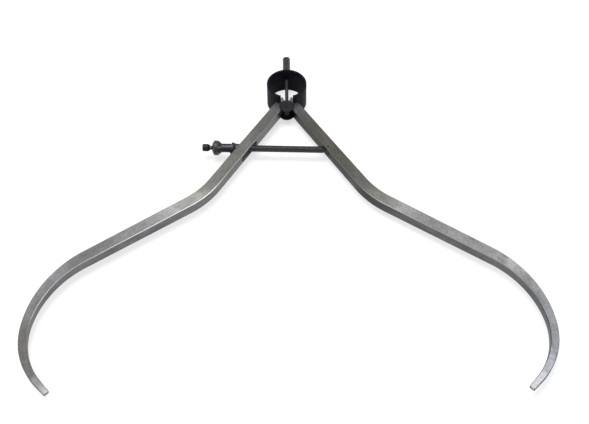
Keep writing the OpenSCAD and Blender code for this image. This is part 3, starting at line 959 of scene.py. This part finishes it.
# %% Make the bow
BAND_HALF, RIM_CHAMFER = 11.5 * MM, 0.25 * MM


def half_bow(side):
    places, outward = half_bow_outline()
    outward[0] = outward[-1] = 0
    levels = [(-BAND_HALF, RIM_CHAMFER), (RIM_CHAMFER - BAND_HALF, 0)]
    levels += [(z, 0) for z in np.linspace(-BAND_HALF / 2, BAND_HALF / 2, 3)]
    levels += [(BAND_HALF - RIM_CHAMFER, 0), (BAND_HALF, RIM_CHAMFER)]
    points = [(side * p[0], p[1], z) for z, inset in levels for p in places - inset * outward]
    return points, skin(len(levels), len(places))


for side, name, leg in ((1, "right", "right_leg"), (-1, "left", "left_leg")):
    points, faces = half_bow(side)
    half_piece = make_piece(
        f"bow_{name}_half", points, faces, bow_black, None, ("bow_spring",))
    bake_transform(half_piece)
    print(half_piece.name, "reaches", round(max(abs(p[0]) for p in points) / MM, 2), "mm out")

# %% [markdown]
# Knurling is pressed into a turned piece by a pair of rollers whose ridges cross, so
# its height is the lower of two slanted waves. A thread is one slanted wave with a
# flat crest. Both could be bump in the finish, but then the outline would stay
# smooth. As real relief they show from every side.

# %% The relief of knurls and threads
CREST_FLAT = 1.6


def ridge(phase):
    """A wave that is 0 in the valley and 1 on the crest."""
    return 1 - abs(2 * (phase % 1) - 1)


def knurl(pitch, depth, ridges):
    def relief(along, angle):
        one = ridge(along / pitch + ridges * angle / (2 * pi))
        other = ridge(along / pitch - ridges * angle / (2 * pi))
        return -depth * (1 - min(one, other))
    return relief


def thread(pitch, depth):
    def relief(along, angle):
        wave = ridge(along / pitch - angle / (2 * pi))
        return -depth * (1 - min(1.0, CREST_FLAT * wave))
    return relief


print("a ridge rises from", ridge(0.0), "to", ridge(0.5))

# %% [markdown]
# A turned piece is a surface of revolution. Blender's spin or screw tool would make it
# from a profile, but neither leaves room for relief. So the rings are laid one by one
# along X, close together where the surface is worked and only at corners elsewhere.

# %% Lay the rings of a turned piece
SAME_PLACE = 1e-9


def ring_profile(profile, worked, fine):
    """The profile's (along, radius) pairs, with more of them where it is worked."""
    rings = [profile[0]]
    for (start, start_radius), (end, end_radius) in zip(profile, profile[1:]):
        inside = worked[0] - SAME_PLACE <= start and end <= worked[1] + SAME_PLACE
        steps = max(1, round((end - start) / fine)) if inside else 1
        for k in range(1, steps + 1):
            along = start + (end - start) * k / steps
            rings.append((along, start_radius + (end_radius - start_radius) * k / steps))
    return rings


def turned(profile, around, relief, worked, fine):
    """Points and faces; the last two faces close the ends."""
    rings = ring_profile(profile, worked, fine)
    points = []
    for along, radius in rings:
        for k in range(around):
            angle = 2 * pi * k / around
            lift = relief(along, angle) if worked[0] < along < worked[1] else 0
            points.append((along, (radius + lift) * cos(angle), (radius + lift) * sin(angle)))
    return points, skin(len(rings), around)


def placed(points, matrix):
    return [matrix @ Vector(p) for p in points]


plain_rod = turned([(0, MM), (MM, MM)], 12, None, (0, 0), MM)
print("a plain rod with twelve sides has", len(plain_rod[1]), "faces")

# %% [markdown]
# The handle is a thin rod that fingers twirl and lift the caliper by, so it is knurled
# over its whole length. Its foot is bevelled where it meets the bow, and its end is
# domed: the dome is an arc of the circle that its height and width ask for.

# %% Make the handle
HANDLE_RADIUS, HANDLE_LENGTH, DOME, PLAIN_RIM = 3.3 * MM, 25.8 * MM, 1.4 * MM, 0.4 * MM
FOOT_GAP, FOOT_END, FOOT_BEVEL = 0.02 * MM, 0.35 * MM, 0.3 * MM
HANDLE_PITCH, HANDLE_KNURL_DEPTH, HANDLE_RIDGES = 0.85 * MM, 0.1 * MM, 22
HANDLE_STEP, HANDLE_AROUND = 0.14 * MM, 160
DOME_FLAT, DOME_RINGS = 0.06, 8

knurl_end = HANDLE_LENGTH - DOME - PLAIN_RIM
dome_radius = (HANDLE_RADIUS ** 2 + DOME ** 2) / (2 * DOME)
dome_profile = [(HANDLE_LENGTH - dome_radius + dome_radius * cos(a), dome_radius * sin(a))
                for a in np.linspace(asin(HANDLE_RADIUS / dome_radius), DOME_FLAT, DOME_RINGS)]
foot_profile = [(FOOT_GAP, HANDLE_RADIUS - FOOT_BEVEL), (FOOT_END, HANDLE_RADIUS)]
handle_profile = foot_profile + [(knurl_end, HANDLE_RADIUS)] + dome_profile
points, faces = turned(
    handle_profile, HANDLE_AROUND, knurl(HANDLE_PITCH, HANDLE_KNURL_DEPTH, HANDLE_RIDGES),
    (FOOT_END, knurl_end), HANDLE_STEP)
along_handle = Matrix.Rotation(pi / 2, 4, "Z")
make_piece("handle_knurled", placed(points, along_handle), faces, knurl_black,
           "head", ("handle",))
print("the handle has", len(points), "points")

# %% [markdown]
# The screw lies across both legs and leans a little, because its eye turns inside the
# right leg while the nut presses near the left leg's outer face. It could be turned by
# eye until it fits, but its place follows from those two pivots, as on the real
# caliper.

# %% Find the line of the screw
swivel = Vector((pivot_reach * sin(right_turn), fulcrum.y - pivot_reach * cos(right_turn), 0))
screw_line = Matrix.Translation(swivel) @ Matrix.Rotation(pi - screw_lean, 4, "Z")
print("the swivel pin stands at", [round(v / MM, 2) for v in swivel])

# %% [markdown]
# The screw is turned from one rod: a smooth shank behind the eye, the thread, and a
# thin neck that the stop button is pressed on. The thread ends in a short taper, as a
# die leaves it, so only the middle stretch is worked.

# %% Make the screw
SCREW_RADIUS, NECK_RADIUS, SHANK_RADIUS = 2.75 * MM, 1.7 * MM, 2.5 * MM
EYE_RADIUS, INSIDE_EYE, SHANK_LENGTH, THREAD_AFTER_EYE = 2.9 * MM, 0.8 * MM, 1.2 * MM, 1.8 * MM
SCREW_LENGTH, BUTTON_LENGTH, NUT_TRAVEL, NUT_LENGTH = 101.5 * MM, 5.9 * MM, 2.2 * MM, 18.6 * MM
THREAD_PITCH, THREAD_DEPTH, THREAD_RUNOUT = 0.9 * MM, 0.2 * MM, 0.2 * MM
END_TAPER, END_RADIUS = 0.5 * MM, 2 * MM
SCREW_AROUND, STEPS_PER_TURN = 32, 6

button_start = SCREW_LENGTH - BUTTON_LENGTH
nut_face = button_start - NUT_TRAVEL
thread_end = nut_face + THREAD_RUNOUT
thread_start = EYE_RADIUS + THREAD_AFTER_EYE
screw_profile = [
    (EYE_RADIUS - INSIDE_EYE, SHANK_RADIUS), (EYE_RADIUS + SHANK_LENGTH, SHANK_RADIUS),
    (thread_start, SCREW_RADIUS),
    (thread_end - END_TAPER, SCREW_RADIUS), (thread_end, END_RADIUS), (thread_end, NECK_RADIUS),
    (SCREW_LENGTH - BUTTON_LENGTH / 3, NECK_RADIUS)]
points, faces = turned(
    screw_profile, SCREW_AROUND, thread(THREAD_PITCH, THREAD_DEPTH),
    (thread_start, thread_end - END_TAPER), THREAD_PITCH / STEPS_PER_TURN)
make_piece("screw_thread", placed(points, screw_line), faces, screw_black, "screw",
           ("adjusting_screw",))
print("the thread has", round((thread_end - thread_start) / THREAD_PITCH), "turns")

# %% [markdown]
# The eye is the flattened end of the screw, round in outline and bored for the swivel
# pin. It is a piece of its own that starts inside the shank, because a turned surface
# cannot hold a flat disc.

# %% Make the eye
EYE_HALF = 2.6 * MM

eye_points, eye_faces = upright_block(circle((0, 0), EYE_RADIUS, 40), -EYE_HALF, EYE_HALF)
pin_bore = upright_block(circle((0, 0), PIN_RADIUS, 24))
eye_mesh = cut(mesh_of("eye", eye_points, eye_faces), {"pin": pin_bore})
eye_mesh.transform(screw_line)
eye_mesh.materials.clear()
eye_mesh.materials.append(screw_black)
finish_piece("screw_eye", eye_mesh, "screw", ())
print("the eye is", round(2 * EYE_RADIUS / MM, 1), "mm across")

# %% [markdown]
# The nut's flange is what fingers turn: a cone that widens to a knurled rim, and a
# slanted face behind it. It is open in the middle, where the nut's split sleeve comes
# through, so the two faces that would close its ends are left out.

# %% Make the flange
FLANGE_RADIUS, FLANGE_RIM, FLANGE_CONE = 6.05 * MM, 3.6 * MM, 2.4 * MM
FLANGE_FACE, FACE_RADIUS, FLANGE_EDGE = 1.3 * MM, 3.95 * MM, 0.3 * MM
SLEEVE_RADIUS, SEAT_FIT = 3.6 * MM, 0.02 * MM
FLANGE_PITCH, FLANGE_KNURL_DEPTH, FLANGE_RIDGES = 0.9 * MM, 0.16 * MM, 42
KNURL_STEP, FLANGE_AROUND = 0.13 * MM, 240

rim_end = NUT_LENGTH - FLANGE_FACE
rim_start = rim_end - FLANGE_RIM
knurled = (rim_start + FLANGE_EDGE, rim_end - FLANGE_EDGE)
flange_bore = SLEEVE_RADIUS + SEAT_FIT
flange_profile = [
    (rim_start - FLANGE_CONE, flange_bore), (rim_start - FLANGE_CONE, SLEEVE_RADIUS + FLANGE_EDGE),
    (rim_start, FLANGE_RADIUS - FLANGE_EDGE), (knurled[0], FLANGE_RADIUS), (knurled[1], FLANGE_RADIUS),
    (rim_end, FLANGE_RADIUS - FLANGE_EDGE), (NUT_LENGTH, FACE_RADIUS), (NUT_LENGTH, flange_bore)]
points, faces = turned(
    flange_profile, FLANGE_AROUND, knurl(FLANGE_PITCH, FLANGE_KNURL_DEPTH, FLANGE_RIDGES),
    knurled, KNURL_STEP)
nut_place = screw_line @ Matrix.Translation((nut_face - NUT_LENGTH, 0, 0))
make_piece("flange_knurled", placed(points, nut_place), faces[:-2], knurl_black,
           "nut", ("nut_flange",))
print("the flange is", round(2 * FLANGE_RADIUS / MM, 1), "mm across")

# %% [markdown]
# The stop button keeps the nut from running off the screw. It is small enough to be a
# plain knurled cylinder at this distance, but it has a cone towards the nut and a
# bevelled end, which give it its outline. Its end towards the neck stays open.

# %% Make the stop button
BUTTON_RADIUS, BUTTON_CONE, CONE_START, BUTTON_BEVEL = 3.05 * MM, 1.4 * MM, 2.2 * MM, 0.5 * MM
BUTTON_PITCH, BUTTON_KNURL_DEPTH, BUTTON_RIDGES = 0.8 * MM, 0.14 * MM, 24
BUTTON_AROUND = 144

bevel_start = BUTTON_LENGTH - BUTTON_BEVEL
button_profile = [
    (0, NECK_RADIUS + SEAT_FIT), (0, CONE_START), (BUTTON_CONE, BUTTON_RADIUS),
    (bevel_start, BUTTON_RADIUS), (BUTTON_LENGTH, BUTTON_RADIUS - BUTTON_BEVEL)]
points, faces = turned(
    button_profile, BUTTON_AROUND, knurl(BUTTON_PITCH, BUTTON_KNURL_DEPTH, BUTTON_RIDGES),
    (BUTTON_CONE, bevel_start), KNURL_STEP)
button_place = screw_line @ Matrix.Translation((button_start, 0, 0))
make_piece("button_knurled", placed(points, button_place), faces[:-2] + faces[-1:], button_black,
           "screw", ("stop_button",))
print("the button has", len(faces), "faces")

# %% [markdown]
# The other pieces have their true shape in the model already, so making them again
# would only risk a mistake. They keep their meshes and get a finish in each of their
# material slots.

# %% Finish the pieces that keep their shape
finishes = {
    "tie_rod": rod_grey, "fulcrum_roller": roller_black, "front_cheek_washer": roller_black,
    "rear_cheek_washer": roller_black, "swivel_pin": screw_black, "nut_seat": jaw_black,
    "nut_jaw_front": jaw_black, "nut_jaw_rear": jaw_black, "nut_ring": wire_steel,
}
for node, finish in finishes.items():
    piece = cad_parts[node]
    for slot in piece.material_slots:
        slot.material = finish
print("finished", len(finishes), "pieces in place")

# %% [markdown]
# Last, the box of the model it was made from is printed. Knurls and threads are cut
# inward, so what was made should have the same box.

# %% Print the model's size
print("model ", [round(v / MM, 1) for side in cad_box for v in side])
